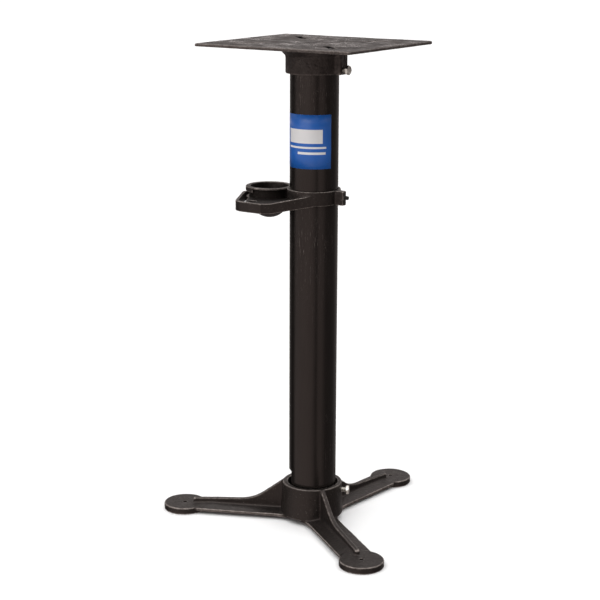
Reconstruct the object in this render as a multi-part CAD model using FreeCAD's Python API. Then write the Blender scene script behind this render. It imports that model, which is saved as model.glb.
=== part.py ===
import FreeCAD, Part
import math
import os

# Pedestal stand for a bench grinder, in millimetres.
# Z is up. The origin is on the column's axis, on the floor. X runs along the top plate's long side.

# ---- overall ----
STAND_HEIGHT = 774.7          # floor to the top plate's upper face
RUNNING_GAP = 0.1             # radial clearance between the column and the castings that turn or slide on it
END_GAP = 0.1                 # clearance at each end of the column
SCREW_GAP = 0.05              # radial clearance of a screw in its hole
TIP_GAP = 0.35                # gap between a slackened screw's tip and the column

# ---- column, a 3 inch tube ----
COLUMN_R = 38.1
COLUMN_WALL = 2.5
COLUMN_SEAT_Z = 12.0          # shoulder inside the base on which the column stands
NOTCH_ANGLE = 212.0
NOTCH_HALF_WIDTH = 17.3
NOTCH_TOP_Z = 84.5
NOTCH_CORNER_R = 2.5

# ---- label on the column ----
LABEL_THICKNESS = 0.15
LABEL_BOTTOM_Z = 583.6
LABEL_TOP_Z = 667.2
LABEL_MID_ANGLE = -90.0
LABEL_SWEEP = 150.8

# ---- tripod base casting ----
LEG_ANGLES = (203.0, 323.0, 83.0)
FOOT_CIRCLE_R = 215.3
FOOT_R = 34.75
FOOT_THICKNESS = 10.9
FOOT_EDGE_R = 1.6
FLOOR_BOLT_R = 3.5
FLANGE_BOTTOM_Z = 5.3
FLANGE_TOP_Z = 10.0           # at the flange's outer edge
FLANGE_HALF_WIDTH = 26.6
FLANGE_THROAT_R = 43.0        # least radius of the flange's outline, midway between two legs
FLANGE_EDGE_R = 1.5
RIDGE_TOP_Z = 13.8            # where the flange's crowned top meets the rib
RIDGE_FADE_START = 172.0
RIDGE_FADE_END = 207.0
RIDGE_FADE_WIDTH = 0.6        # the faded end's width, as a share of the full width
RIDGE_SINK = 1.0              # how far the ridge is let into the flange below it
RIDGE_SHOULDER = 0.3          # how far the ridge's side edges lie below the flange's top
RIDGE_FADE_RISE = 0.1         # how far the faded end still stands above the foot
RIB_THICKNESS = 8.2
RIB_START = 40.0
RIB_END = 201.0
RIB_HUB_TOP_Z = 62.4          # rib's top where it leaves the hub, at radius RIB_HUB_R
RIB_HUB_R = 48.4
RIB_KNEE = (97.7, 25.4)       # radius and height where the rib's two straight top lines would meet
RIB_KNEE_R = 72.0
RIB_END_TOP_Z = 19.4
RIB_EDGE_R = 2.8
RIB_NOSE_R = 3.6
HUB_BOTTOM_Z = 9.0
HUB_TOP_Z = 63.0
HUB_BOTTOM_R = 50.3
HUB_TOP_R = 48.6
HUB_EDGE_R = 2.4
HUB_MOUTH_R = 41.0            # rough cast mouth above the fitted bore
HUB_MOUTH_Z = 56.0
HUB_MOUTH_SHIFT = 0.6
HUB_DRAIN_R = 30.0

# ---- top casting: plate and socket ----
PLATE_LENGTH = 274.0
PLATE_WIDTH = 251.0
PLATE_THICKNESS = 5.0
PLATE_CORNER_R = 2.5
PLATE_EDGE_R = 0.7
SLOT_CENTRE = 71.0            # each slot's centre is at plus or minus this in X and in Y
SLOT_LENGTH = 54.0
SLOT_WIDTH = 11.0
SOCKET_R = 45.1
SOCKET_BOTTOM_Z = 727.5
SOCKET_EDGE_R = 2.2
FLARE_R = 60.3
FLARE_HEIGHT = 15.2
SOCKET_BOSS_R = 53.2
SOCKET_BOSS_WIDTH = 24.0
SOCKET_BOSS_CORNER_R = 3.0

# ---- M8 hexagon screws in the base and the socket ----
M8_R = 4.0
M8_HEAD_FLATS = 13.0
M8_HEAD_HEIGHT = 5.3
M8_CROWN_R = 6.24             # flat end face inside the head's 30 degree chamfer
M8_CROWN_ANGLE = 60.0         # the chamfer's cone, measured from the screw's axis
M8_TIP_TAPER = 1.2
BASE_SCREW_ANGLE = 23.0
BASE_SCREW_Z = 50.0
BASE_SCREW_HEAD_R = 56.0      # radius at which the head starts
TOP_SCREW_ANGLE = 0.0
TOP_SCREW_Z = 735.0
TOP_SCREW_HEAD_R = 57.5

# ---- pot bracket casting ----
RING_BOTTOM_Z = 526.0
RING_TOP_Z = 548.5
RING_R = 42.3
RING_EDGE_R = 1.2
EAR_R = 56.5
EAR_WIDTH = 10.5
EAR_CORNER_R = 1.6
EAR_SCREW_Z = 538.3
TRAY_BOTTOM_Z = 514.5
TRAY_TOP_Z = 530.5
TRAY_WALL = 4.6
TRAY_SIDE_Y = 83.0            # half of the tray's outer width
TRAY_SHOULDER_X = -46.0       # where each arm meets the tray's side wall
TRAY_CORNER_X = -94.2
TRAY_NOSE_X = -136.2
TRAY_CORNER_R = 22.0
TRAY_NOSE_R = 11.0
LEDGE_BOTTOM_Z = 523.8
LEDGE_TOP_Z = 528.6
LEDGE_COLLAR_R = 36.5         # ring of ledge round the pot
LEDGE_EDGE_OFFSET = 31.0      # distance from the pot's axis to the ledge's slanting edges
LEDGE_END_X = 15.0            # the ledge stops here, where the arms have run into the ring
POT_HOLE_R = 32.75
TOOL_HOLE = (-77.0, 59.0)
TOOL_HOLE_R = 6.2
ARM_TANGENT_R = 42.6
ARM_THICKNESS = 6.0
ARM_OVERRUN = 2.0             # how far each arm runs on past its tangent point on the ring
ARM_LEVEL = 15.0              # level length at the tray's end of each arm
ARM_END_TOP_Z = 543.5

# ---- bracket set screw, M6 with a hexagon socket ----
M6_R = 3.0
M6_SOCKET_FLATS = 3.0
M6_SOCKET_DEPTH = 3.5
M6_END_R = 63.0
M6_CHAMFER = 0.5

# ---- water pot ----
POT_X = -84.0
POT_BOWL_R = 32.0
POT_WALL = 3.0
POT_BOWL_Z = 525.5            # centre of the round bowl
POT_WALL_TOP_R = 34.3
POT_LIP_Z = 542.4
POT_RIM_Z = 545.3
POT_LIP_R = 37.6
POT_LIP_EDGE_R = 1.1
POT_TAB_DROP = 1.0            # how far the finger tab's top stays below the rim
POT_TAB_FROM = 200.0
POT_TAB_SWEEP = 58.0
POT_TAB_BOTTOM_Z = 537.2
POT_TAB_R = 38.2

PLATE_BOTTOM_Z = STAND_HEIGHT - PLATE_THICKNESS
COLUMN_BORE_R = COLUMN_R + RUNNING_GAP
OVERCUT = 2.0                 # how far a cutting tool runs past the face that it opens
OVERLAP = 1.0                 # how far two joined solids run into each other

Z_AXIS = FreeCAD.Vector(0, 0, 1)
ORIGIN = FreeCAD.Vector(0, 0, 0)


def vec(x, y, z=0.0):
    return FreeCAD.Vector(x, y, z)


def polar(radius, degrees, z=0.0):
    turn = math.radians(degrees)
    return vec(radius * math.cos(turn), radius * math.sin(turn), z)


def cylinder(radius, z_low, z_high, x=0.0, y=0.0):
    return Part.makeCylinder(radius, z_high - z_low, vec(x, y, z_low))


def box(x_low, x_high, y_low, y_high, z_low, z_high):
    return Part.makeBox(x_high - x_low, y_high - y_low, z_high - z_low, vec(x_low, y_low, z_low))


def turned(shape, degrees):
    copy = shape.copy()
    copy.rotate(ORIGIN, Z_AXIS, degrees)
    return copy


def mirrored_y(shape):
    return shape.mirror(ORIGIN, vec(0, 1, 0))


def rounded_outline(corners, z):
    """Closed wire through (x, y, radius) corners, each rounded by its own radius."""
    starts = []
    ends = []
    middles = []
    count = len(corners)
    for i, (x, y, radius) in enumerate(corners):
        here = vec(x, y, z)
        before = vec(corners[i - 1][0], corners[i - 1][1], z) - here
        after = vec(corners[(i + 1) % count][0], corners[(i + 1) % count][1], z) - here
        before.normalize()
        after.normalize()
        half = before.getAngle(after) / 2
        setback = radius / math.tan(half)
        bisector = before + after
        bisector.normalize()
        starts.append(here + before * setback)
        ends.append(here + after * setback)
        middles.append(here + bisector * (radius / math.sin(half) - radius))
    edges = []
    for i in range(count):
        if corners[i][2] > 0:
            edges.append(Part.Arc(starts[i], middles[i], ends[i]).toShape())
        edges.append(Part.LineSegment(ends[i], starts[(i + 1) % count]).toShape())
    return Part.Wire(edges)


def prism(wire, height):
    return Part.Face(wire).extrude(vec(0, 0, height))


def polygon_face(points):
    return Part.Face(Part.makePolygon(points + [points[0]]))


def edges_at_height(shape, z, tolerance=0.01):
    """Edges of a shape that lie wholly in the level plane at z."""
    return [e for e in shape.Edges
            if abs(e.BoundBox.ZMin - z) < tolerance and abs(e.BoundBox.ZMax - z) < tolerance]


def vertical_edges(shape, x_over):
    """Upright edges of a shape that lie beyond x_over in X."""
    return [e for e in shape.Edges if e.BoundBox.XLength < 0.01 and e.BoundBox.YLength < 0.01
            and e.BoundBox.XMin > x_over]


def rounded_disc(radius, z_low, z_high, edge_radius):
    disc = cylinder(radius, z_low, z_high)
    rims = edges_at_height(disc, z_low) + edges_at_height(disc, z_high)
    return disc.makeFillet(edge_radius, rims)


# ---- tripod base ----

def flange_outline():
    """Plan outline of the three flanges, joined by hollow arcs between neighbouring legs."""
    slope = math.sin(math.radians(60))
    hollow_r = (FLANGE_THROAT_R - FLANGE_HALF_WIDTH / slope) / (1 / slope - 1)
    tangent_u = (FLANGE_HALF_WIDTH + hollow_r) / math.tan(math.radians(60))
    edges = []
    for angle in LEG_ANGLES:
        inner_right = turned_point(tangent_u, -FLANGE_HALF_WIDTH, angle)
        outer_right = turned_point(FOOT_CIRCLE_R, -FLANGE_HALF_WIDTH, angle)
        outer_left = turned_point(FOOT_CIRCLE_R, FLANGE_HALF_WIDTH, angle)
        inner_left = turned_point(tangent_u, FLANGE_HALF_WIDTH, angle)
        next_right = turned_point(tangent_u, -FLANGE_HALF_WIDTH, angle + 120)
        throat = polar(FLANGE_THROAT_R, angle + 60, FLANGE_BOTTOM_Z)
        edges.append(Part.LineSegment(inner_right, outer_right).toShape())
        edges.append(Part.LineSegment(outer_right, outer_left).toShape())
        edges.append(Part.LineSegment(outer_left, inner_left).toShape())
        edges.append(Part.Arc(inner_left, throat, next_right).toShape())
    return Part.Wire(edges)


def turned_point(u, v, angle):
    """Point at u along a leg and v across it, at the flange's lower face."""
    turn = math.radians(angle)
    x = u * math.cos(turn) - v * math.sin(turn)
    y = u * math.sin(turn) + v * math.cos(turn)
    return vec(x, y, FLANGE_BOTTOM_Z)


def flange_slab():
    slab = prism(flange_outline(), FLANGE_TOP_Z - FLANGE_BOTTOM_Z)
    rims = edges_at_height(slab, FLANGE_BOTTOM_Z) + edges_at_height(slab, FLANGE_TOP_Z)
    return slab.makeFillet(FLANGE_EDGE_R, rims)


def ridge_section(u, half_base, half_top, top_z):
    base_z = FLANGE_TOP_Z - RIDGE_SINK
    side_z = FLANGE_TOP_Z - RIDGE_SHOULDER
    points = [vec(u, -half_base, base_z), vec(u, half_base, base_z), vec(u, half_base, side_z),
              vec(u, half_top, top_z), vec(u, -half_top, top_z), vec(u, -half_base, side_z)]
    return Part.makePolygon(points + [points[0]])


def flange_ridge():
    """Crowned upper side of one leg's flange, fading out on the foot."""
    half_base = FLANGE_HALF_WIDTH - FLANGE_EDGE_R
    full = ridge_section(RIDGE_FADE_START, half_base, RIB_THICKNESS / 2, RIDGE_TOP_Z)
    start = ridge_section(0.0, half_base, RIB_THICKNESS / 2, RIDGE_TOP_Z)
    faded_top = FOOT_THICKNESS + RIDGE_FADE_RISE
    faded = ridge_section(RIDGE_FADE_END, half_base * RIDGE_FADE_WIDTH, RIB_THICKNESS / 4, faded_top)
    return Part.makeLoft([start, full, faded], True, True)


def leg_rib():
    """Upright rib along the first leg's axis, sweeping from the hub's rim down to the foot."""
    steep_start = vec(RIB_HUB_R, 0, RIB_HUB_TOP_Z)
    knee = vec(RIB_KNEE[0], 0, RIB_KNEE[1])
    shallow_end = vec(RIB_END, 0, RIB_END_TOP_Z)
    up = steep_start - knee
    out = shallow_end - knee
    up.normalize()
    out.normalize()
    half = up.getAngle(out) / 2
    setback = RIB_KNEE_R / math.tan(half)
    bisector = up + out
    bisector.normalize()
    arc_start = knee + up * setback
    arc_end = knee + out * setback
    arc_middle = knee + bisector * (RIB_KNEE_R / math.sin(half) - RIB_KNEE_R)
    inner_top = vec(RIB_START, 0, RIB_HUB_TOP_Z)
    inner_bottom = vec(RIB_START, 0, FLANGE_BOTTOM_Z + OVERLAP)
    outer_bottom = vec(RIB_END, 0, FLANGE_BOTTOM_Z + OVERLAP)
    profile = Part.Wire([
        Part.LineSegment(inner_bottom, inner_top).toShape(),
        Part.LineSegment(inner_top, steep_start).toShape(),
        Part.LineSegment(steep_start, arc_start).toShape(),
        Part.Arc(arc_start, arc_middle, arc_end).toShape(),
        Part.LineSegment(arc_end, shallow_end).toShape(),
        Part.LineSegment(shallow_end, outer_bottom).toShape(),
        Part.LineSegment(outer_bottom, inner_bottom).toShape(),
    ])
    rib = Part.Face(profile).extrude(vec(0, RIB_THICKNESS, 0))
    rib.translate(vec(0, -RIB_THICKNESS / 2, 0))
    rib = rib.makeFillet(RIB_NOSE_R, vertical_edges(rib, RIB_END - OVERLAP))
    top_edges = [e for e in rib.Edges
                 if e.BoundBox.ZMin > RIB_END_TOP_Z - 0.01 and e.BoundBox.XMin > RIB_HUB_R - OVERLAP]
    return rib.makeFillet(RIB_EDGE_R, top_edges)


def hub_body():
    hub = Part.makeCone(HUB_BOTTOM_R, HUB_TOP_R, HUB_TOP_Z - HUB_BOTTOM_Z, vec(0, 0, HUB_BOTTOM_Z))
    rims = edges_at_height(hub, HUB_BOTTOM_Z) + edges_at_height(hub, HUB_TOP_Z)
    return hub.makeFillet(HUB_EDGE_R, rims)


def hub_bore():
    """Everything that is cut out of the hub: drain, fitted bore and the wider rough mouth."""
    shift = polar(HUB_MOUTH_SHIFT, BASE_SCREW_ANGLE)
    drain = cylinder(HUB_DRAIN_R, 0, COLUMN_SEAT_Z + OVERLAP)
    bore = cylinder(COLUMN_BORE_R, COLUMN_SEAT_Z, HUB_TOP_Z + OVERCUT)
    mouth = cylinder(HUB_MOUTH_R, HUB_MOUTH_Z, HUB_TOP_Z + OVERCUT, shift.x, shift.y)
    return drain.fuse([bore, mouth])


def foot():
    pad = rounded_disc(FOOT_R, 0, FOOT_THICKNESS, FOOT_EDGE_R)
    pad.translate(vec(FOOT_CIRCLE_R, 0, 0))
    return pad


def radial_hole(radius, reach, angle, z):
    hole = Part.makeCylinder(radius, reach, vec(0, 0, z), vec(1, 0, 0))
    return turned(hole, angle)


def tripod_base():
    body = hub_body().fuse(flange_slab())
    for angle in LEG_ANGLES:
        body = body.fuse([turned(flange_ridge(), angle), turned(leg_rib(), angle), turned(foot(), angle)])
    body = body.cut(hub_bore())
    body = body.cut(radial_hole(M8_R, HUB_BOTTOM_R + OVERCUT, BASE_SCREW_ANGLE, BASE_SCREW_Z))
    for angle in LEG_ANGLES:
        centre = polar(FOOT_CIRCLE_R, angle)
        body = body.cut(cylinder(FLOOR_BOLT_R, -OVERCUT, FOOT_THICKNESS + OVERCUT, centre.x, centre.y))
    return body.removeSplitter()


# ---- column and label ----

def column_tube():
    tube = cylinder(COLUMN_R, COLUMN_SEAT_Z + END_GAP, PLATE_BOTTOM_Z - END_GAP)
    tube = tube.cut(cylinder(COLUMN_R - COLUMN_WALL, 0, STAND_HEIGHT))
    notch = box(COLUMN_R / 2, COLUMN_R + OVERCUT, -NOTCH_HALF_WIDTH, NOTCH_HALF_WIDTH, 0, NOTCH_TOP_Z)
    corners = [e for e in notch.Edges
               if e.BoundBox.ZMin > NOTCH_TOP_Z - OVERLAP and e.BoundBox.YLength < 0.01]
    notch = notch.makeFillet(NOTCH_CORNER_R, corners)
    return tube.cut(turned(notch, NOTCH_ANGLE))


def column_label():
    height = LABEL_TOP_Z - LABEL_BOTTOM_Z
    base = vec(0, 0, LABEL_BOTTOM_Z)
    outer = Part.makeCylinder(COLUMN_R + LABEL_THICKNESS, height, base, Z_AXIS, LABEL_SWEEP)
    inner = Part.makeCylinder(COLUMN_R, height, base, Z_AXIS, 360)
    return turned(outer.cut(inner), LABEL_MID_ANGLE - LABEL_SWEEP / 2)


# ---- top casting ----

def plate_slot():
    """Cutting tool for one bolt slot, pointing at the plate's centre."""
    straight = SLOT_LENGTH - SLOT_WIDTH
    middle_r = SLOT_CENTRE * math.sqrt(2)
    half_width = SLOT_WIDTH / 2
    low = PLATE_BOTTOM_Z - OVERCUT
    high = STAND_HEIGHT + OVERCUT
    near = cylinder(half_width, low, high, middle_r - straight / 2)
    far = cylinder(half_width, low, high, middle_r + straight / 2)
    bar = box(middle_r - straight / 2, middle_r + straight / 2, -half_width, half_width, low, high)
    return bar.fuse([near, far])


def plate():
    half_x = PLATE_LENGTH / 2
    half_y = PLATE_WIDTH / 2
    corners = [(-half_x, -half_y, PLATE_CORNER_R), (half_x, -half_y, PLATE_CORNER_R),
               (half_x, half_y, PLATE_CORNER_R), (-half_x, half_y, PLATE_CORNER_R)]
    slab = prism(rounded_outline(corners, PLATE_BOTTOM_Z), PLATE_THICKNESS)
    rims = edges_at_height(slab, PLATE_BOTTOM_Z) + edges_at_height(slab, STAND_HEIGHT)
    slab = slab.makeFillet(PLATE_EDGE_R, rims)
    for quarter in range(4):
        slab = slab.cut(turned(plate_slot(), 45 + 90 * quarter))
    return slab


def socket_body():
    """Round socket, its flare under the plate and the boss that takes the screw."""
    top_z = PLATE_BOTTOM_Z + OVERLAP
    half_boss = SOCKET_BOSS_WIDTH / 2
    barrel = cylinder(SOCKET_R, SOCKET_BOTTOM_Z, top_z)
    flare_z = PLATE_BOTTOM_Z - FLARE_HEIGHT
    flare = Part.makeCone(SOCKET_R, FLARE_R, FLARE_HEIGHT, vec(0, 0, flare_z))
    boss = box(0, SOCKET_BOSS_R, -half_boss, half_boss, SOCKET_BOTTOM_Z, top_z)
    boss = boss.makeFillet(SOCKET_BOSS_CORNER_R, vertical_edges(boss, SOCKET_BOSS_R - OVERLAP))
    lower = barrel.fuse(boss).removeSplitter()
    lower = lower.makeFillet(SOCKET_EDGE_R, edges_at_height(lower, SOCKET_BOTTOM_Z))
    return lower.fuse(flare)


def top_plate():
    body = plate().fuse(socket_body())
    body = body.cut(cylinder(COLUMN_BORE_R, SOCKET_BOTTOM_Z - OVERCUT, PLATE_BOTTOM_Z))
    body = body.cut(radial_hole(M8_R, SOCKET_BOSS_R + OVERCUT, TOP_SCREW_ANGLE, TOP_SCREW_Z))
    return body.removeSplitter()


# ---- screws ----

def hexagon(flats, height, start):
    """Hexagonal prism along X from x = start, with two flats level."""
    points = []
    for k in range(6):
        turn = math.radians(60 * k)
        corner_r = flats / math.sqrt(3)
        points.append(vec(start, corner_r * math.cos(turn), corner_r * math.sin(turn)))
    return polygon_face(points).extrude(vec(height, 0, 0))


def hexagon_screw(head_r, angle, z):
    """M8 hexagon screw lying along a radius of the column, with its head outside."""
    tip_r = COLUMN_R + TIP_GAP
    shank_r = M8_R - SCREW_GAP
    along_x = vec(1, 0, 0)
    tip = Part.makeCone(shank_r - M8_TIP_TAPER, shank_r, M8_TIP_TAPER, vec(tip_r, 0, 0), along_x)
    shank_length = head_r - tip_r - M8_TIP_TAPER + OVERLAP
    shank = Part.makeCylinder(shank_r, shank_length, vec(tip_r + M8_TIP_TAPER, 0, 0), along_x)
    head = hexagon(M8_HEAD_FLATS, M8_HEAD_HEIGHT, head_r)
    crown_start = vec(head_r - M8_HEAD_HEIGHT, 0, 0)
    crown_length = 2 * M8_HEAD_HEIGHT
    crown_base_r = M8_CROWN_R + crown_length * math.tan(math.radians(M8_CROWN_ANGLE))
    crown = Part.makeCone(crown_base_r, M8_CROWN_R, crown_length, crown_start, along_x)
    screw = tip.fuse([shank, head.common(crown)])
    screw.translate(vec(0, 0, z))
    return turned(screw, angle)


def bracket_set_screw():
    """Headless M6 screw with a hexagon socket in its outer end."""
    tip_r = COLUMN_R + TIP_GAP
    radius = M6_R - SCREW_GAP
    along_x = vec(1, 0, 0)
    length = M6_END_R - tip_r
    middle = Part.makeCylinder(radius, length - 2 * M6_CHAMFER, vec(tip_r + M6_CHAMFER, 0, 0), along_x)
    tip = Part.makeCone(radius - M6_CHAMFER, radius, M6_CHAMFER, vec(tip_r, 0, 0), along_x)
    end = Part.makeCone(radius, radius - M6_CHAMFER, M6_CHAMFER, vec(M6_END_R - M6_CHAMFER, 0, 0), along_x)
    screw = middle.fuse([tip, end])
    screw = screw.cut(hexagon(M6_SOCKET_FLATS, M6_SOCKET_DEPTH + OVERCUT, M6_END_R - M6_SOCKET_DEPTH))
    screw.translate(vec(0, 0, EAR_SCREW_Z))
    return screw


# ---- pot bracket ----

def nose_slope():
    """Angle between the tray's slanting nose walls and the X axis."""
    return math.atan2(TRAY_SIDE_Y, TRAY_CORNER_X - TRAY_NOSE_X)


def tray_outline(inset, z):
    """Tray's plan outline: level sides and a pointed nose, moved inwards by inset."""
    slope = nose_slope()
    nose_x = TRAY_NOSE_X + inset / math.sin(slope)
    corner_x = TRAY_CORNER_X + inset * math.tan(slope / 2)
    side_y = TRAY_SIDE_Y - inset
    open_x = TRAY_SHOULDER_X + OVERLAP
    corner_r = TRAY_CORNER_R - inset
    nose_r = TRAY_NOSE_R - inset
    return rounded_outline([(open_x, -side_y, 0), (open_x, side_y, 0), (corner_x, side_y, corner_r),
                            (nose_x, 0, nose_r), (corner_x, -side_y, corner_r)], z)


def tray_wall():
    """Upright band round the tray, open towards the column."""
    height = TRAY_TOP_Z - TRAY_BOTTOM_Z
    outer = prism(tray_outline(0.0, TRAY_BOTTOM_Z), height)
    inner = prism(tray_outline(TRAY_WALL, TRAY_BOTTOM_Z - OVERCUT), height + 2 * OVERCUT)
    inner_y = TRAY_SIDE_Y - TRAY_WALL
    gate = box(TRAY_SHOULDER_X - OVERCUT, TRAY_SHOULDER_X + 2 * OVERCUT, -inner_y, inner_y,
               TRAY_BOTTOM_Z - OVERCUT, TRAY_TOP_Z + OVERCUT)
    return outer.cut(inner.fuse(gate))


def arm_tangent():
    """Unit direction of the front arm in plan, and its length to the tangent point on the ring."""
    start = vec(TRAY_SHOULDER_X, -TRAY_SIDE_Y)
    touch = math.atan2(start.y, start.x) + math.acos(ARM_TANGENT_R / start.Length)
    direction = polar(ARM_TANGENT_R, math.degrees(touch)) - start
    length = direction.Length
    direction.normalize()
    return direction, length


def front_arm():
    """Sloping arm from the tray's shoulder up to the ring."""
    direction, length = arm_tangent()
    start = vec(TRAY_SHOULDER_X, -TRAY_SIDE_Y)
    total = length + ARM_OVERRUN
    side = [(0, TRAY_BOTTOM_Z), (ARM_LEVEL, TRAY_BOTTOM_Z), (length, RING_BOTTOM_Z), (total, RING_BOTTOM_Z),
            (total, ARM_END_TOP_Z), (length, ARM_END_TOP_Z), (ARM_LEVEL, TRAY_TOP_Z), (0, TRAY_TOP_Z)]
    points = [start + direction * along + vec(0, 0, z) for along, z in side]
    inward = vec(-direction.y, direction.x) * ARM_THICKNESS
    return polygon_face(points).extrude(inward)


def arm_spread_plan(z_low, z_high):
    """Plan area between the two arms, as a prism."""
    direction, length = arm_tangent()
    tip = vec(TRAY_SHOULDER_X, -TRAY_SIDE_Y) + direction * length
    half_y = TRAY_SIDE_Y - OVERLAP
    points = [vec(TRAY_SHOULDER_X, -half_y, z_low), vec(tip.x, tip.y + OVERLAP, z_low),
              vec(tip.x, -tip.y - OVERLAP, z_low), vec(TRAY_SHOULDER_X, half_y, z_low)]
    return polygon_face(points).extrude(vec(0, 0, z_high - z_low))


def slanting_edge_cutter():
    """Cuts away the tray's floor beyond the slanting edge on the front side of the nose."""
    far = 2 * TRAY_SIDE_Y
    cutter = box(LEDGE_EDGE_OFFSET, far, -far, far, LEDGE_BOTTOM_Z - OVERCUT, LEDGE_TOP_Z + OVERCUT)
    cutter = turned(cutter, -90 - math.degrees(nose_slope()))
    cutter.translate(vec(POT_X, 0, 0))
    return cutter


def ledge():
    """Level floor of the tray, with the pot's hole, two tool holes and the open window at the nose."""
    floor = prism(tray_outline(TRAY_WALL / 2, LEDGE_BOTTOM_Z), LEDGE_TOP_Z - LEDGE_BOTTOM_Z)
    cutter = slanting_edge_cutter()
    floor = floor.cut(cutter.fuse(mirrored_y(cutter)))
    floor = floor.fuse([arm_spread_plan(LEDGE_BOTTOM_Z, LEDGE_TOP_Z),
                        cylinder(LEDGE_COLLAR_R, LEDGE_BOTTOM_Z, LEDGE_TOP_Z, POT_X)])
    low = LEDGE_BOTTOM_Z - OVERCUT
    high = LEDGE_TOP_Z + OVERCUT
    floor = floor.cut(cylinder(POT_HOLE_R, low, high, POT_X))
    for side in (-1, 1):
        floor = floor.cut(cylinder(TOOL_HOLE_R, low, high, TOOL_HOLE[0], side * TOOL_HOLE[1]))
    beyond_ring = box(LEDGE_END_X, EAR_R, -EAR_R, EAR_R, low, high)
    return floor.cut(beyond_ring)


def ear():
    block = box(0, EAR_R, -EAR_WIDTH / 2, EAR_WIDTH / 2, RING_BOTTOM_Z, RING_TOP_Z)
    return block.makeFillet(EAR_CORNER_R, vertical_edges(block, EAR_R - OVERLAP))


def pot_bracket():
    ring = rounded_disc(RING_R, RING_BOTTOM_Z, RING_TOP_Z, RING_EDGE_R)
    arm = front_arm()
    body = ring.fuse([tray_wall(), ledge(), ear(), arm, mirrored_y(arm)])
    body = body.cut(cylinder(COLUMN_BORE_R, TRAY_BOTTOM_Z - OVERCUT, RING_TOP_Z + OVERCUT))
    body = body.cut(radial_hole(M6_R, EAR_R + OVERCUT, 0, EAR_SCREW_Z))
    return body.removeSplitter()


# ---- water pot ----

def pot_finger_tab():
    """Short thicker stretch hanging below the lip."""
    height = POT_RIM_Z - POT_TAB_DROP - POT_TAB_BOTTOM_Z
    tab = Part.makeCylinder(POT_TAB_R, height, vec(0, 0, POT_TAB_BOTTOM_Z), Z_AXIS, POT_TAB_SWEEP)
    tab = turned(tab, POT_TAB_FROM)
    tab.translate(vec(POT_X, 0, 0))
    return tab


def water_pot():
    """Round-bottomed bowl with a slightly flared wall and a turned-out lip."""
    axis = vec(POT_X, 0, POT_BOWL_Z)
    inner_r = POT_BOWL_R - POT_WALL
    below_centre = cylinder(POT_BOWL_R + OVERCUT, POT_BOWL_Z - POT_BOWL_R, POT_BOWL_Z, POT_X)
    bowl = Part.makeSphere(POT_BOWL_R, axis).common(below_centre)
    wall = Part.makeCone(POT_BOWL_R, POT_WALL_TOP_R, POT_LIP_Z - POT_BOWL_Z, axis)
    lip = cylinder(POT_LIP_R, POT_LIP_Z, POT_RIM_Z, POT_X)
    lip = lip.makeFillet(POT_LIP_EDGE_R, edges_at_height(lip, POT_RIM_Z))
    pot = bowl.fuse([wall, lip, pot_finger_tab()])
    hollow_bowl = Part.makeSphere(inner_r, axis)
    hollow_height = POT_RIM_Z + OVERCUT - POT_BOWL_Z
    hollow_wall = Part.makeCone(inner_r, POT_WALL_TOP_R - POT_WALL, hollow_height, axis)
    return pot.cut(hollow_bowl.fuse(hollow_wall)).removeSplitter()


NODES = {
    "tripod_base": tripod_base,
    "column_tube": column_tube,
    "column_label": column_label,
    "top_plate": top_plate,
    "pot_bracket": pot_bracket,
    "water_pot": water_pot,
    "bracket_set_screw": bracket_set_screw,
    "base_screw": lambda: hexagon_screw(BASE_SCREW_HEAD_R, BASE_SCREW_ANGLE, BASE_SCREW_Z),
    "top_screw": lambda: hexagon_screw(TOP_SCREW_HEAD_R, TOP_SCREW_ANGLE, TOP_SCREW_Z),
}

os.makedirs("parts", exist_ok=True)
for name, make in NODES.items():
    shape = make()
    print(name, "solids", len(shape.Solids), "valid", shape.isValid(), "volume", round(shape.Volume))
    shape.exportStep("parts/" + name + ".step")
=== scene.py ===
import math

import bmesh
import bpy
import numpy as np
from mathutils import Matrix, Vector, noise


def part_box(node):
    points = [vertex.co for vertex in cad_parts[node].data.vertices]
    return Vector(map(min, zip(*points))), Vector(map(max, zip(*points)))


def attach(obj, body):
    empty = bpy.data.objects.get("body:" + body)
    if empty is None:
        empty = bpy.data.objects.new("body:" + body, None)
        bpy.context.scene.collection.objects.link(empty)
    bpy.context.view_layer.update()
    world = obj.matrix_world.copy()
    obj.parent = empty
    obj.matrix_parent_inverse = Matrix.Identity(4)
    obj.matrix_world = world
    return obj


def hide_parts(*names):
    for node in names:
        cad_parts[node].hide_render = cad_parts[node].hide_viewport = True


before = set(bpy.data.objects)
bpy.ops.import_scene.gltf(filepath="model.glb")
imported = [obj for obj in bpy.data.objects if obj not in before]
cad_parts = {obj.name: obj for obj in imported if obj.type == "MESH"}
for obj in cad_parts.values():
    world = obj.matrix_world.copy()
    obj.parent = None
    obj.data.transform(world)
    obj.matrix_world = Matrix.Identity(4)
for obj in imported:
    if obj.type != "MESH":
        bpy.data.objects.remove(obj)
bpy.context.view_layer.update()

# Looks of a bench grinder's pedestal stand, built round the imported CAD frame. Metres, Z up.

MM = 0.001

# ---- sizes shared with the CAD model ----
COLUMN_R = 38.1 * MM
COLUMN_WALL = 2.5 * MM
COLUMN_BORE_R = 38.2 * MM
NOTCH_ANGLE = 212.0
NOTCH_HALF_WIDTH = 17.3 * MM
NOTCH_TOP_Z = 84.5 * MM
NOTCH_CORNER_R = 2.5 * MM
LABEL_MID_ANGLE = -90.0
LABEL_SWEEP = 150.8
LABEL_THICKNESS = 0.15 * MM
POT_X = -84.0 * MM
TRAY_HOLE_R = 32.75 * MM
BASE_SCREW_ANGLE = 23.0
BASE_SCREW_Z = 50.0 * MM
BASE_SCREW_HEAD_R = 56.0 * MM
TOP_SCREW_ANGLE = 0.0
TOP_SCREW_Z = 735.0 * MM
TOP_SCREW_HEAD_R = 57.5 * MM
SCREW_TIP_R = 38.45 * MM
M8_R = 4.0 * MM
M8_FLATS = 13.0 * MM
M8_HEAD = 5.3 * MM
EAR_SCREW_ANGLE = 0.0
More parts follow.
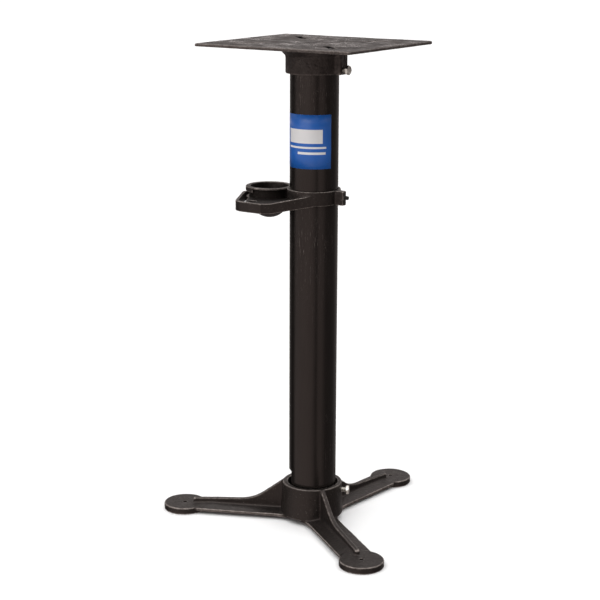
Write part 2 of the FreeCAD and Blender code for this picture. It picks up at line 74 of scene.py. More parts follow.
EAR_SCREW_Z = 538.3 * MM
M6_R = 3.0 * MM
M6_END_R = 63.0 * MM

# ---- details that only the looks have ----
M8_PITCH = 1.25 * MM
BASE_SCREW_TURN = math.radians(8)    # how far each head is turned on its own axis
TOP_SCREW_TURN = math.radians(20)
M6_PITCH = 1.0 * MM
M6_SOCKET = 1.5 * MM          # half of the socket's width across flats
M6_SOCKET_DEPTH = 3.3 * MM
BORE_RELIEF = 0.1 * MM        # how far a casting's rough bore stays outside the CAD bore
BORE_SKIN = 1.0 * MM          # how far inside its radius a bore's rough wall can lie
FINE_BORE_SKIN = 0.8 * MM     # the same in the bracket's finer mesh
BASE_BORE_Z = (12.5 * MM, 58.0 * MM)     # each bore is opened between two heights
HEAD_BORE_Z = (700.0 * MM, 769.0 * MM)
RING_BORE_Z = (500.0 * MM, 560.0 * MM)
TRAY_HOLE_Z = (522.0 * MM, 530.0 * MM)
SLOT_FLOOR_Z = 770.0 * MM     # just above the plate's underside
SLOT_REACH = 118.0 * MM       # every slot lies inside this half width of the plate
SLOT_START = 68.0 * MM        # and outside this distance from the column's axis
TUBE_BEVEL = 0.35 * MM
NOTCH_LEVELS = (30.0 * MM, 50.0 * MM, 70.0 * MM)   # heights of rings of points beside the notch
LABEL_GAP = 0.02 * MM         # between the label's back and the column
LABEL_COLUMNS = 61
LABEL_BARS = [                # each bar's two edges across the label and two edges up it
    (-27.0 * MM, 35.0 * MM, 39.5 * MM, 61.0 * MM),
    (-27.0 * MM, 41.0 * MM, 31.5 * MM, 34.5 * MM),
    (-6.0 * MM, 40.0 * MM, 22.5 * MM, 26.2 * MM),
]
THREAD_DEPTH = 0.61           # of a metric thread, in pitches
THREAD_STEPS = 10             # rings in one pitch
THREAD_SIDES = 36
HEAD_SIDES = 72
HEAD_RINGS = [                # distance out from the head's inner face, and the largest radius there
    (0.0, 3.0 * MM), (0.0, 5.9 * MM), (0.35 * MM, 5.95 * MM), (0.4 * MM, 6.35 * MM),
    (1.0 * MM, M8_FLATS / math.sqrt(3)), (M8_HEAD - 1.0 * MM, M8_FLATS / math.sqrt(3)),
    (M8_HEAD - 0.55 * MM, 7.1 * MM), (M8_HEAD - 0.1 * MM, 6.25 * MM),
    (M8_HEAD, 5.9 * MM), (M8_HEAD - 0.15 * MM, 5.0 * MM),
]


# ======================================================================== mesh helpers

def add_object(name, mesh):
    piece = bpy.data.objects.new(name, mesh)
    bpy.context.scene.collection.objects.link(piece)
    return piece


def bake_modifiers(piece):
    """Turns the piece's modifiers into its mesh."""
    bpy.context.view_layer.update()
    graph = bpy.context.evaluated_depsgraph_get()
    mesh = bpy.data.meshes.new_from_object(piece.evaluated_get(graph))
    piece.modifiers.clear()
    piece.data = mesh


def points_of(mesh):
    flat = np.empty(len(mesh.vertices) * 3)
    mesh.vertices.foreach_get("co", flat)
    return flat.reshape(-1, 3)


def normals_of(mesh):
    flat = np.empty(len(mesh.vertices) * 3)
    mesh.vertex_normals.foreach_get("vector", flat)
    return flat.reshape(-1, 3)


def set_points(mesh, points):
    mesh.vertices.foreach_set("co", points.astype(np.float32).ravel())
    mesh.update()


def neighbour_means(mesh, points):
    """Mean position of each vertex's neighbours."""
    pairs = np.empty(len(mesh.edges) * 2, np.int32)
    mesh.edges.foreach_get("vertices", pairs)
    first, second = pairs.reshape(-1, 2).T
    count = len(points)
    degree = np.bincount(first, minlength=count) + np.bincount(second, minlength=count)
    mean = np.empty_like(points)
    for axis in range(3):
        total = np.bincount(first, points[second, axis], count)
        total += np.bincount(second, points[first, axis], count)
        mean[:, axis] = total / np.maximum(degree, 1)
    return mean


def relax(mesh, passes, strength):
    """Plain smoothing, which takes the voxel steps off the edges."""
    for _ in range(passes):
        points = points_of(mesh)
        set_points(mesh, points + strength * (neighbour_means(mesh, points) - points))


def fill_creases(mesh, passes):
    """Smooths inner corners only, so that they get the fillets of a casting and outer edges stay."""
    for _ in range(passes):
        points = points_of(mesh)
        normals = normals_of(mesh)
        step = neighbour_means(mesh, points) - points
        outward = np.einsum("ij,ij->i", step, normals)
        gain = np.where(outward > 0.0, 0.7 * outward, 0.0)
        set_points(mesh, points + gain[:, None] * normals)


def roughen(mesh, layers, seed):
    """Moves the surface in and out by layers of smooth noise, given as (grain size, depth)."""
    points = points_of(mesh)
    normals = normals_of(mesh)
    shift = Vector((seed * 3.7, seed * 1.9, seed * 5.3))
    depth = np.zeros(len(points))
    for size, amount in layers:
        for index, point in enumerate(points):
            depth[index] += amount * noise.noise(Vector(point) / size + shift)
    set_points(mesh, points + depth[:, None] * normals)


def open_bore(mesh, centre_x, radius, reach, low, high):
    """Pushes a bore's wall back to its true radius, so that the piece inside it stays clear."""
    points = points_of(mesh)
    across = points[:, 0] - centre_x
    distance = np.hypot(across, points[:, 1])
    near = (distance < radius) & (distance > radius - reach) & (points[:, 2] > low) & (points[:, 2] < high)
    scale = radius / distance[near]
    points[near, 0] = centre_x + across[near] * scale
    points[near, 1] *= scale
    set_points(mesh, points)


def stand_flat(mesh):
    """Presses anything that noise pushed below the floor back to it."""
    points = points_of(mesh)
    points[:, 2] = np.maximum(points[:, 2], 0.0)
    set_points(mesh, points)


def casting_from(node, name, voxel, seed, soften, crease_passes, layers):
    """A sand casting with the CAD node's shape: rounded edges, filled inner corners, uneven skin."""
    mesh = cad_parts[node].data.copy()
    mesh.materials.clear()
    build = bmesh.new()
    build.from_mesh(mesh)
    bmesh.ops.remove_doubles(build, verts=build.verts, dist=1e-6)
    build.to_mesh(mesh)
    build.free()
    piece = add_object(name, mesh)
    skin = piece.modifiers.new("skin", "REMESH")
    skin.mode = "VOXEL"
    skin.voxel_size = voxel
    skin.adaptivity = 0.0
    bake_modifiers(piece)
    relax(piece.data, *soften)
    fill_creases(piece.data, crease_passes)
    roughen(piece.data, layers, seed)
    piece.data.shade_smooth()
    return piece


def mark_slot_walls(mesh):
    """Gives the second material, a painted shade, to the upright walls of the plate's slots."""
    steep = 0.6
    for face in mesh.polygons:
        x, y, z = face.center
        near_slots = max(abs(x), abs(y)) < SLOT_REACH and math.hypot(x, y) > SLOT_START
        if z > SLOT_FLOOR_Z and near_slots and abs(face.normal.z) < steep:
            face.material_index = 1


def mesh_of(name, vertices, faces):
    mesh = bpy.data.meshes.new(name)
    mesh.from_pydata([tuple(v) for v in vertices], [], faces)
    mesh.update()
    return mesh


# ======================================================================== pieces

def tube_with_notch(name):
    """The column: a thin tube with slightly rounded ends and a notch at its foot."""
    low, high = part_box("column_tube")
    half = math.degrees(math.asin(NOTCH_HALF_WIDTH / COLUMN_R))
    corner = math.degrees(NOTCH_CORNER_R / COLUMN_R)
    bite = corner * (1 - math.sqrt(0.5))
    marks = [half, half - bite, half - corner]
    angles = [-m for m in marks] + [0.0] + marks[::-1]
    angles += list(np.linspace(-half, half, 15)[1:-1])
    angles += list(np.linspace(half, 360 - half, 158)[:-1])
    angles = sorted({round(a, 5) % 360 for a in angles})
    rise = NOTCH_CORNER_R * (1 - math.sqrt(0.5))
    heights = [low.z, *NOTCH_LEVELS, NOTCH_TOP_Z - NOTCH_CORNER_R, NOTCH_TOP_Z - rise, NOTCH_TOP_Z]
    heights += list(np.linspace(NOTCH_TOP_Z, high.z, 29)[1:])
    build = bmesh.new()
    grid = []
    for z in heights:
        row = []
        for angle in angles:
            turn = math.radians(angle + NOTCH_ANGLE)
            row.append(build.verts.new((COLUMN_R * math.cos(turn), COLUMN_R * math.sin(turn), z)))
        grid.append(row)

    def in_notch(angle):
        return min(angle, 360 - angle) < half - 1e-4

    top = heights.index(NOTCH_TOP_Z)
    count = len(angles)
    for level in range(len(heights) - 1):
        for k in range(count):
            after = (k + 1) % count
            middle = (angles[k] + (angles[after] if after else 360.0)) / 2
            if level < top and in_notch(middle % 360):
                continue
            below = grid[level]
            above = grid[level + 1]
            build.faces.new((below[k], below[after], above[after], above[k]))
    column = {a: k for k, a in enumerate(angles)}

    def at(angle):
        return min(column, key=lambda a: abs(a - angle % 360))

    for side in (1, -1):
        edge, nick, start = (column[at(side * m)] for m in marks)
        corner_face = [grid[top][start], grid[top - 1][nick], grid[top - 2][edge],
                       grid[top - 1][edge], grid[top][edge], grid[top][nick]]
        build.faces.new(corner_face if side > 0 else corner_face[::-1])
    bmesh.ops.recalc_face_normals(build, faces=build.faces)
    loose = [v for v in build.verts if not v.link_faces]
    bmesh.ops.delete(build, geom=loose, context="VERTS")
    mesh = bpy.data.meshes.new(name)
    build.to_mesh(mesh)
    build.free()
    piece = add_object(name, mesh)
    wall = piece.modifiers.new("wall", "SOLIDIFY")
    wall.thickness = COLUMN_WALL
    wall.offset = -1.0
    wall.use_even_offset = True
    bevel = piece.modifiers.new("ends", "BEVEL")
    bevel.width = TUBE_BEVEL
    bevel.segments = 2
    bevel.limit_method = "ANGLE"
    bevel.angle_limit = math.radians(50)
    bake_modifiers(piece)
    piece.data.shade_smooth()
    return piece


def wrapped_label(name):
    """The label: a thin sheet bent round the column, printed with plain bars."""
    low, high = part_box("column_label")
    outer = COLUMN_R + LABEL_THICKNESS
    inner = COLUMN_R + LABEL_GAP
    width = math.radians(LABEL_SWEEP) * outer
    height = high.z - low.z
    across = {edge for bar in LABEL_BARS for edge in bar[:2]}
    across |= set(np.linspace(-width / 2, width / 2, LABEL_COLUMNS))
    up = {0.0, height} | {edge for bar in LABEL_BARS for edge in bar[2:]}
    across = sorted(across)
    up = sorted(up)
    vertices = []
    faces = []
    printed = []
    for radius in (outer, inner):
        for z in up:
            for s in across:
                turn = math.radians(LABEL_MID_ANGLE) + s / outer
                vertices.append((radius * math.cos(turn), radius * math.sin(turn), low.z + z))
    columns = len(across)
    rows = len(up)
    layer = columns * rows
    for r in range(rows - 1):
        for c in range(columns - 1):
            a = r * columns + c
            quad = (a, a + 1, a + columns + 1, a + columns)
            middle = ((across[c] + across[c + 1]) / 2, (up[r] + up[r + 1]) / 2)
            white = any(b[0] < middle[0] < b[1] and b[2] < middle[1] < b[3] for b in LABEL_BARS)
            faces.append(quad)
            printed.append(1 if white else 0)
            faces.append(tuple(layer + v for v in reversed(quad)))
            printed.append(0)
    rim = list(range(columns))
    rim += [r * columns + columns - 1 for r in range(1, rows)]
    rim += [(rows - 1) * columns + c for c in range(columns - 2, -1, -1)]
    rim += [r * columns for r in range(rows - 2, 0, -1)]
    for k, v in enumerate(rim):
        after = rim[(k + 1) % len(rim)]
        faces.append((v, v + layer, after + layer, after))
        printed.append(0)
    mesh = mesh_of(name, vertices, faces)
    mesh.polygons.foreach_set("material_index", printed)
    piece = add_object(name, mesh)
    mesh.shade_smooth()
    return piece


def thread_radius(along, radius, pitch):
    """Radius of a metric thread at a place along it, counted in pitches."""
    root_flat = 0.12
    flank = 0.66
    wave = abs((along % 1.0) * 2 - 1)
    crest = min(max((wave - root_flat) / flank, 0.0), 1.0)
    return radius - THREAD_DEPTH * pitch * (1 - crest)


def join_rings(build, rings):
    """Walls between neighbouring closed rings of vertices."""
    for lower, upper in zip(rings, rings[1:]):
        count = len(lower)
        for n in range(count):
            after = (n + 1) % count
            build.faces.new((lower[n], lower[after], upper[after], upper[n]))


def threaded_shank(build, length, radius, pitch, start):
    """Rings of a threaded rod along +X from start, with chamfered ends; returns its first and last ring."""
    steps = max(2, int(round(length / pitch * THREAD_STEPS)))
    rings = []
    for k in range(steps + 1):
        x = start + length * k / steps
        end = min(x - start, start + length - x)
        cap = radius - max(0.0, THREAD_DEPTH * pitch - end)
        ring = []
        for n in range(THREAD_SIDES):
            turn = 2 * math.pi * n / THREAD_SIDES
            r = min(thread_radius(x / pitch - n / THREAD_SIDES, radius, pitch), cap)
            ring.append(build.verts.new((x, r * math.cos(turn), r * math.sin(turn))))
        rings.append(ring)
    join_rings(build, rings)
    return rings[0], rings[-1]


def hexagon_ring(build, x, half_flats, limit, sides, turn):
    """A ring round the X axis at x: a hexagon with its corners cut back to the limit radius."""
    ring = []
    for n in range(sides):
        t = 2 * math.pi * n / sides
        folded = (t + turn) % (math.pi / 3) - math.pi / 6
        r = min(half_flats / math.cos(folded), limit)
        ring.append(build.verts.new((x, r * math.cos(t), r * math.sin(t))))
    return ring


def hexagon_screw(name, head_r, angle, z, turn):
    """An M8 hexagon screw with a rolled thread, a washer face and a chamfered head."""
    build = bmesh.new()
    first, last = threaded_shank(build, head_r - SCREW_TIP_R, M8_R, M8_PITCH, SCREW_TIP_R)
    build.faces.new(first[::-1])
    build.faces.new(last)
    rings = []
    for out, limit in HEAD_RINGS:
        rings.append(hexagon_ring(build, head_r + out, M8_FLATS / 2, limit, HEAD_SIDES, turn))
    join_rings(build, rings)
    build.faces.new(rings[0][::-1])
    build.faces.new(rings[-1])
    return finish_screw(build, name, angle, z)


def grub_screw(name, angle, z):
    """An M6 set screw with a hexagon socket in its outer end."""
    build = bmesh.new()
    first, last = threaded_shank(build, M6_END_R - SCREW_TIP_R, M6_R, M6_PITCH, SCREW_TIP_R)
    build.faces.new(first[::-1])
    socket = [(0.0, M6_SOCKET + 0.2 * MM), (0.25 * MM, M6_SOCKET), (M6_SOCKET_DEPTH, M6_SOCKET)]
    rings = [last]
    for depth, half_flats in socket:
        rings.append(hexagon_ring(build, M6_END_R - depth, half_flats, M6_R, THREAD_SIDES, 0.0))
    join_rings(build, rings)
    build.faces.new(rings[-1])
    return finish_screw(build, name, angle, z)


def finish_screw(build, name, angle, z):
    """Puts a screw built along +X in its place round the column, with crisp edges."""
    bmesh.ops.recalc_face_normals(build, faces=build.faces)
    mesh = bpy.data.meshes.new(name)
    build.to_mesh(mesh)
    build.free()
    mesh.transform(Matrix.Rotation(math.radians(angle), 4, "Z") @ Matrix.Translation((0, 0, z)))
    piece = add_object(name, mesh)
    mesh.shade_smooth()
    split = piece.modifiers.new("edges", "EDGE_SPLIT")
    split.split_angle = math.radians(28)
    bake_modifiers(piece)
    return piece


# ======================================================================== materials

BROWN_SHEEN = (1.0, 0.83, 0.77)


class Nodes:
    """Short calls for building one material's node tree."""

    def __init__(self, name):
        self.material = bpy.data.materials.new(name)
        self.material.use_nodes = True
        self.tree = self.material.node_tree
        self.tree.nodes.clear()
        self.output = self.tree.nodes.new("ShaderNodeOutputMaterial")
        self.shader = self.tree.nodes.new("ShaderNodeBsdfPrincipled")
        self.link(self.shader, "BSDF", self.output, "Surface")
        self.place = self.tree.nodes.new("ShaderNodeTexCoord")

    def link(self, source, out, target, into):
        self.tree.links.new(source.outputs[out], target.inputs[into])

    def noise(self, scale, detail=3.0, roughness=0.55, stretch=None, distortion=0.0):
        node = self.tree.nodes.new("ShaderNodeTexNoise")
        node.inputs["Scale"].default_value = scale
        node.inputs["Detail"].default_value = detail
        node.inputs["Roughness"].default_value = roughness
        node.inputs["Distortion"].default_value = distortion
        if stretch:
            mapping = self.tree.nodes.new("ShaderNodeMapping")
            mapping.inputs["Scale"].default_value = stretch
            self.link(self.place, "Object", mapping, "Vector")
            self.link(mapping, "Vector", node, "Vector")
        else:
            self.link(self.place, "Object", node, "Vector")
        return node.outputs["Fac"]

    def ramp(self, value, stops):
        node = self.tree.nodes.new("ShaderNodeValToRGB")
        self.tree.links.new(value, node.inputs["Fac"])
        elements = node.color_ramp.elements
        while len(elements) < len(stops):
            elements.new(0.5)
        for element, (position, shade) in zip(elements, stops):
            element.position = position
            element.color = (shade, shade, shade, 1.0)
        return node.outputs["Color"]

    def mix(self, factor, first, second):
        node = self.tree.nodes.new("ShaderNodeMix")
        node.data_type = "RGBA"
        for value, socket in ((factor, node.inputs[0]), (first, node.inputs[6]), (second, node.inputs[7])):
            if isinstance(value, bpy.types.NodeSocket):
                self.tree.links.new(value, socket)
            else:
                socket.default_value = (*value, 1.0)
        return node.outputs[2]

    def product(self, first, second):
        node = self.tree.nodes.new("ShaderNodeMath")
        node.operation = "MULTIPLY"
        node.use_clamp = True
        self.tree.links.new(first, node.inputs[0])
        self.tree.links.new(second, node.inputs[1])
        return node.outputs[0]

    def edges(self, low, high):
        """0 on flat and hollow surfaces, 1 on sharp outer edges."""
        node = self.tree.nodes.new("ShaderNodeNewGeometry")
        return self.ramp(node.outputs["Pointiness"], [(low, 0.0), (high, 1.0)])

    def bump(self, layers):
        """Chained bumps, each (height, distance in metres, strength)."""
        normal = None
        for height, distance, strength in layers:
            node = self.tree.nodes.new("ShaderNodeBump")
            node.inputs["Distance"].default_value = distance
            node.inputs["Strength"].default_value = strength
            self.tree.links.new(height, node.inputs["Height"])
            if normal is not None:
                self.tree.links.new(normal, node.inputs["Normal"])
            normal = node.outputs["Normal"]
        self.tree.links.new(normal, self.shader.inputs["Normal"])

    def set(self, name, value):
        if isinstance(value, bpy.types.NodeSocket):
            self.tree.links.new(value, self.shader.inputs[name])
        elif isinstance(value, tuple):
            self.shader.inputs[name].default_value = (*value, 1.0)
        else:
            self.shader.inputs[name].default_value = value


def enamel_on_iron(name, dark, light, worn, rough, blotches, grain, lumps):
    """Satin black enamel on sand-cast iron: mottled, grainy, lumpy, lighter on worn edges."""
    n = Nodes(name)
    patches = n.noise(22.0, 4.0, 0.6)
    specks = n.noise(420.0, 2.0, 0.6)
    base = n.mix(n.ramp(patches, [(0.35, 0.0), (0.75, 1.0)]), dark, light)
    dusty = n.ramp(specks, [(0.64, 0.0), (0.76, 0.16)])
    base = n.mix(dusty, base, worn)
    breakup = n.ramp(n.noise(160.0, 3.0, 0.65), [(0.30, 0.25), (0.62, 1.0)])
    wear = n.product(n.edges(0.520, 0.556), breakup)
    n.set("Base Color", n.mix(wear, base, worn))
    n.set("Roughness", n.ramp(n.noise(blotches, 5.0, 0.65), [(0.36, rough[0]), (0.64, rough[1])]))
    n.set("Specular IOR Level", 0.4)
    n.set("Specular Tint", BROWN_SHEEN)
    n.bump([
        (n.noise(95.0, 3.0, 0.6), 0.0030 * lumps, 0.5),
        (n.noise(230.0, 3.0, 0.6), 0.0012 * grain, 0.55),
        (n.noise(900.0, 2.0, 0.6), 0.00035 * grain, 0.6),
    ])
    return n.material


def painted_slot_shade(name):
    """Painted shade on the walls of the plate's slots: a dull, mottled near-black that stands in for the
    shadow inside them.
    """
    n = Nodes(name)
    shade_mottle = n.ramp(n.noise(260.0, 3.0, 0.6), [(0.4, 0.0), (0.7, 1.0)])
    # mottled near-black painted shade, in place of the shadow in the slots
    n.set("Base Color", n.mix(shade_mottle, (0.003, 0.003, 0.003), (0.009, 0.009, 0.009)))
    n.set("Roughness", n.ramp(n.noise(150.0, 3.0, 0.5), [(0.3, 0.75), (0.7, 0.95)]))
    n.set("Specular IOR Level", 0.15)
    n.bump([(n.noise(400.0, 3.0, 0.6), 0.0006, 0.6)])
    return n.material


def enamel_on_tube(name):
    """Satin black enamel on drawn tube: smooth, with faint streaks along it and a few fine scratches."""
    n = Nodes(name)
    streaks = n.noise(9.0, 5.0, 0.6, stretch=(9.0, 9.0, 0.9))
    streaks = n.ramp(streaks, [(0.35, 0.0), (0.7, 1.0)])
    base = n.mix(streaks, (0.0050, 0.0043, 0.0040), (0.0095, 0.0082, 0.0075))
    scratch = n.noise(30.0, 6.0, 0.75, stretch=(26.0, 26.0, 1.4), distortion=0.4)
    scratch = n.ramp(scratch, [(0.59, 0.0), (0.64, 1.0)])
    band = n.noise(5.0, 2.0, 0.5)
    scratch = n.product(scratch, n.ramp(band, [(0.48, 0.0), (0.62, 0.8)]))
    n.set("Base Color", n.mix(scratch, base, (0.13, 0.115, 0.105)))
    n.set("Roughness", n.ramp(n.noise(40.0, 5.0, 0.6), [(0.3, 0.17), (0.7, 0.25)]))
    n.set("Specular IOR Level", 0.4)
    n.set("Specular Tint", BROWN_SHEEN)
    n.bump([
        (n.noise(14.0, 3.0, 0.5, stretch=(6.0, 6.0, 0.8)), 0.0006, 0.25),
        (n.noise(520.0, 2.0, 0.5), 0.00012, 0.5),
    ])
    return n.material


def printed_vinyl(name, colour, shade):
    """Printed plastic film, slightly cloudy."""
    n = Nodes(name)
    cloud = n.noise(35.0, 3.0, 0.5)
    n.set("Base Color", n.mix(n.ramp(cloud, [(0.3, 0.0), (0.7, 1.0)]), colour, shade))
    n.set("Roughness", n.ramp(n.noise(90.0, 3.0, 0.5), [(0.3, 0.28), (0.7, 0.36)]))
    n.bump([(n.noise(700.0, 2.0, 0.5), 0.00005, 0.4)])
    return n.material


def plated_steel(name, colour, dull, rough):
    """Plated steel with duller patches."""
    n = Nodes(name)
    n.set("Base Color", n.mix(n.ramp(n.noise(260.0, 4.0, 0.6), [(0.35, 0.0), (0.7, 1.0)]), colour, dull))
    n.set("Metallic", 1.0)
    n.set("Roughness", n.ramp(n.noise(500.0, 3.0, 0.6), [(0.3, rough[0]), (0.7, rough[1])]))
    n.bump([(n.noise(1500.0, 2.0, 0.6), 0.00005, 0.5)])
    return n.material


def pale_floor(name):
    """Matt white studio floor."""
    n = Nodes(name)
    n.set("Base Color", (0.86, 0.86, 0.86))
    n.set("Roughness", 0.9)
    n.set("Specular IOR Level", 0.1)
    return n.material


# ======================================================================== build the object

VOXEL_COARSE = 1.2 * MM
VOXEL_PLATE = 1.3 * MM
VOXEL_FINE = 0.8 * MM
ROUGH_BORE_R = COLUMN_BORE_R + BORE_RELIEF

base = casting_from("tripod_base", "base_casting", VOXEL_COARSE, 1, (2, 0.4), 5,
                    [(34 * MM, 0.35 * MM), (9 * MM, 0.14 * MM), (3.2 * MM, 0.06 * MM)])
open_bore(base.data, 0.0, ROUGH_BORE_R, BORE_SKIN, *BASE_BORE_Z)
stand_flat(base.data)
top = casting_from("top_plate", "plate_casting", VOXEL_PLATE, 2, (1, 0.3), 4,
                   [(60 * MM, 0.30 * MM), (8 * MM, 0.10 * MM), (3.0 * MM, 0.05 * MM)])
open_bore(top.data, 0.0, ROUGH_BORE_R, BORE_SKIN, *HEAD_BORE_Z)
mark_slot_walls(top.data)
bracket = casting_from("pot_bracket", "bracket_casting", VOXEL_FINE, 3, (2, 0.5), 6,
                       [(20 * MM, 0.20 * MM), (5 * MM, 0.10 * MM), (2.2 * MM, 0.04 * MM)])
open_bore(bracket.data, 0.0, ROUGH_BORE_R, FINE_BORE_SKIN, *RING_BORE_Z)
open_bore(bracket.data, POT_X, TRAY_HOLE_R, FINE_BORE_SKIN, *TRAY_HOLE_Z)
pot = casting_from("water_pot", "pot_casting", VOXEL_FINE, 4, (2, 0.5), 3,
                   [(18 * MM, 0.15 * MM), (4 * MM, 0.05 * MM)])
column = tube_with_notch("column_pipe")
label = wrapped_label("label_print")
base_bolt = hexagon_screw("base_bolt", BASE_SCREW_HEAD_R, BASE_SCREW_ANGLE, BASE_SCREW_Z, BASE_SCREW_TURN)
top_bolt = hexagon_screw("top_bolt", TOP_SCREW_HEAD_R, TOP_SCREW_ANGLE, TOP_SCREW_Z, TOP_SCREW_TURN)
ear_screw = grub_screw("ear_screw", EAR_SCREW_ANGLE, EAR_SCREW_Z)

iron = enamel_on_iron("black_casting", (0.0050, 0.0042, 0.0038), (0.012, 0.0100, 0.0090),
                      (0.58, 0.51, 0.47), (0.32, 0.46), 60.0, 0.9, 0.35)
plate_iron = enamel_on_iron("black_plate", (0.006, 0.0050, 0.0045), (0.034, 0.028, 0.026),
                            (0.22, 0.19, 0.175), (0.20, 0.66), 38.0, 1.2, 2.2)
# painted shade: the slot walls get a near-black dull material in place of the shadow inside the slots
slot_shade = painted_slot_shade("slot_shade")
tube_paint = enamel_on_tube("black_tube")
blue = printed_vinyl("label_blue", (0.013, 0.116, 0.46), (0.017, 0.132, 0.52))
white = printed_vinyl("label_white", (0.83, 0.84, 0.85), (0.78, 0.79, 0.80))
zinc = plated_steel("bright_zinc", (0.70, 0.68, 0.63), (0.52, 0.50, 0.46), (0.22, 0.40))
oxide = plated_steel("black_oxide", (0.10, 0.095, 0.09), (0.05, 0.048, 0.046), (0.35, 0.5))

FINISHES = [
    (base, "base", "tripod_base", "black_casting", [iron]),
    (top, "head", "top_plate", "black_casting", [plate_iron, slot_shade]),
    (bracket, "bracket", "pot_bracket", "black_casting", [iron]),
    (pot, "pot", "water_pot", "black_casting", [iron]),
    (column, "column", "column_tube", "black_tube", [tube_paint]),
    (label, "column", "column_label", "label_vinyl", [blue, white]),
    (base_bolt, "base_screw_body", "base_screw", "zinc", [zinc]),
    (top_bolt, "top_screw_body", "top_screw", "zinc", [zinc]),
    (ear_screw, "bracket_screw_body", "bracket_set_screw", "blackened_steel", [oxide]),
]
for piece, body, node, slot, materials in FINISHES:
    for material in materials:
        piece.data.materials.append(material)
    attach(piece, body)
    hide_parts(node)


# ======================================================================== floor, light, camera

FLOOR_HALF = 40.0
FLOOR_CORNERS = [
    (-FLOOR_HALF, -FLOOR_HALF, 0.0), (FLOOR_HALF, -FLOOR_HALF, 0.0),
    (FLOOR_HALF, FLOOR_HALF, 0.0), (-FLOOR_HALF, FLOOR_HALF, 0.0),
]
floor_mesh = mesh_of("floor", FLOOR_CORNERS, [(0, 1, 2, 3)])
floor = add_object("floor", floor_mesh)
floor_mesh.materials.append(pale_floor("pale_floor"))
floor.visible_glossy = False
floor.visible_diffuse = False
floor.visible_shadow = False

scene = bpy.context.scene
scene.view_settings.view_transform = "Standard"

CAMERA_AT = Vector((1.28605, -2.02259, 0.95803))
CAMERA_RIGHT = Vector((0.8386007, 0.5447356, 0.0034566))
CAMERA_UP = Vector((-0.133174, 0.1988555, 0.9709383))
CAMERA_LENS = 92.81


def soft_light(name, at, aim, size, power):
    data = bpy.data.lights.new(name, "AREA")
    data.shape = "RECTANGLE"
    data.size, data.size_y = size
    data.energy = power
    lamp = bpy.data.objects.new(name, data)
    scene.collection.objects.link(lamp)
    lamp.location = at
    lamp.rotation_euler = (Vector(aim) - Vector(at)).to_track_quat("-Z", "Y").to_euler()


ahead = CAMERA_UP.cross(CAMERA_RIGHT)
level = Vector((ahead.x, ahead.y, 0.0)).normalized()
aside = Vector((CAMERA_RIGHT.x, CAMERA_RIGHT.y, 0.0)).normalized()


def beside(right, back, up):
    """A place given from the column: to the camera's right, towards the camera, and up."""
    return aside * right - level * back + Vector((0, 0, up))


# Brightness of the studio round the stand, by azimuth in degrees from the camera's side, positive to
# the right: below the horizon, where the column's reflections come from, and above it.
WALLS_LOW = [
    (-180, 0.30), (-150, 0.20), (-128, 0.02), (-108, 0.02), (-92, 0.66), (-60, 0.78), (-30, 0.82),
    (-10, 0.80), (6, 0.46), (14, 0.10), (24, 0.66), (42, 0.58), (60, 0.18), (112, 0.14), (150, 0.30),
    (180, 0.30),
]
WALLS_HIGH = [
    (-180, 1.30), (-130, 1.10), (-60, 0.80), (0, 0.60), (60, 0.45), (130, 1.00), (180, 1.30),
]
# Share of that brightness at each height, by the sine of the height above the horizon.
FADE_UP = [(-1.0, 1.0), (0.08, 1.0), (0.18, 0.20), (0.50, 0.24), (1.0, 0.80)]
HORIZON = (-0.05, 0.03)       # sines of the heights between which the low walls give way to the high ones
WALL_TINT = (1.0, 0.91, 0.885)
CEILING = 2.1
CEILING_FROM = 0.50           # sine of the height at which the ceiling begins
CEILING_FULL = 0.80


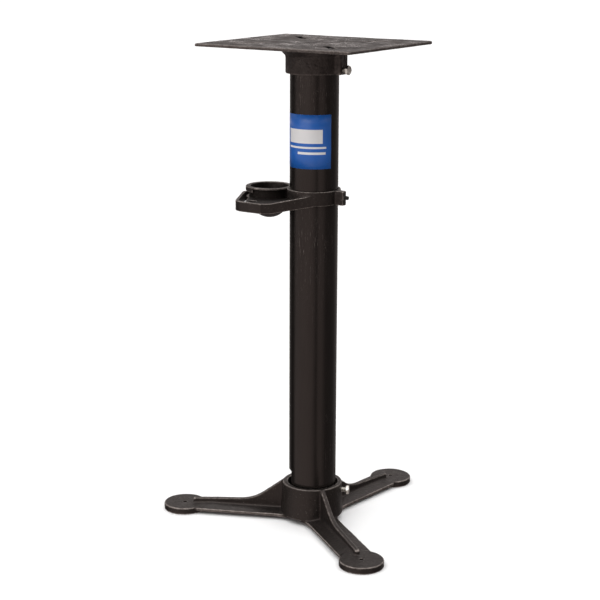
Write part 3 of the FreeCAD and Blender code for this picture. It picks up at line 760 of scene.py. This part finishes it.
def studio_world():
    """A plain studio: walls whose brightness changes round the stand, and a bright ceiling."""
    world = bpy.data.worlds.new("studio")
    world.use_nodes = True
    tree = world.node_tree
    link = tree.links.new
    background = tree.nodes["Background"]
    place = tree.nodes.new("ShaderNodeTexCoord")
    facing = tree.nodes.new("ShaderNodeMapping")
    facing.inputs["Rotation"].default_value = (0.0, 0.0, -math.atan2(-level.y, -level.x))
    link(place.outputs["Generated"], facing.inputs["Vector"])
    azimuth = tree.nodes.new("ShaderNodeTexGradient")
    azimuth.gradient_type = "RADIAL"
    link(facing.outputs["Vector"], azimuth.inputs["Vector"])
    parts = tree.nodes.new("ShaderNodeSeparateXYZ")
    link(place.outputs["Generated"], parts.inputs["Vector"])

    def span(low, high, smooth=True):
        node = tree.nodes.new("ShaderNodeMapRange")
        node.interpolation_type = "SMOOTHSTEP" if smooth else "LINEAR"
        node.inputs["From Min"].default_value = low
        node.inputs["From Max"].default_value = high
        link(parts.outputs["Z"], node.inputs["Value"])
        return node.outputs["Result"]

    def curve(value, stops, tint):
        node = tree.nodes.new("ShaderNodeValToRGB")
        elements = node.color_ramp.elements
        while len(elements) < len(stops):
            elements.new(0.5)
        for element, (position, amount) in zip(elements, stops):
            element.position = position
            element.color = (*(amount * c for c in tint), 1.0)
        link(value, node.inputs["Fac"])
        return node.outputs["Color"]

    def blend(kind, factor, first, second):
        node = tree.nodes.new("ShaderNodeMix")
        node.data_type = "RGBA"
        node.blend_type = kind
        for value, socket in ((factor, node.inputs[0]), (first, node.inputs[6]), (second, node.inputs[7])):
            if isinstance(value, bpy.types.NodeSocket):
                link(value, socket)
            else:
                socket.default_value = value
        return node.outputs[2]

    def round_the_stand(stops):
        return curve(azimuth.outputs["Fac"], [(d / 360 + 0.5, amount) for d, amount in stops], WALL_TINT)

    walls = blend("MIX", span(*HORIZON), round_the_stand(WALLS_LOW), round_the_stand(WALLS_HIGH))
    fade = curve(span(-1.0, 1.0, False), [((z + 1) / 2, amount) for z, amount in FADE_UP], (1.0, 1.0, 1.0))
    walls = blend("MULTIPLY", 1.0, walls, fade)
    link(blend("MIX", span(CEILING_FROM, CEILING_FULL), walls, (CEILING, CEILING, CEILING, 1.0)),
         background.inputs["Color"])
    return world


scene.world = studio_world()

soft_light("key", beside(-1.5, 1.5, 1.6), (0, 0, 0.45), (2.2, 2.2), 18.0)

camera_data = bpy.data.cameras.new("camera")
camera_data.sensor_width = 36.0
camera_data.lens = CAMERA_LENS
camera = bpy.data.objects.new("camera", camera_data)
scene.collection.objects.link(camera)
turn = Matrix((CAMERA_RIGHT, CAMERA_UP, -ahead)).transposed()
camera.matrix_world = Matrix.Translation(CAMERA_AT) @ turn.to_4x4()
scene.camera = camera
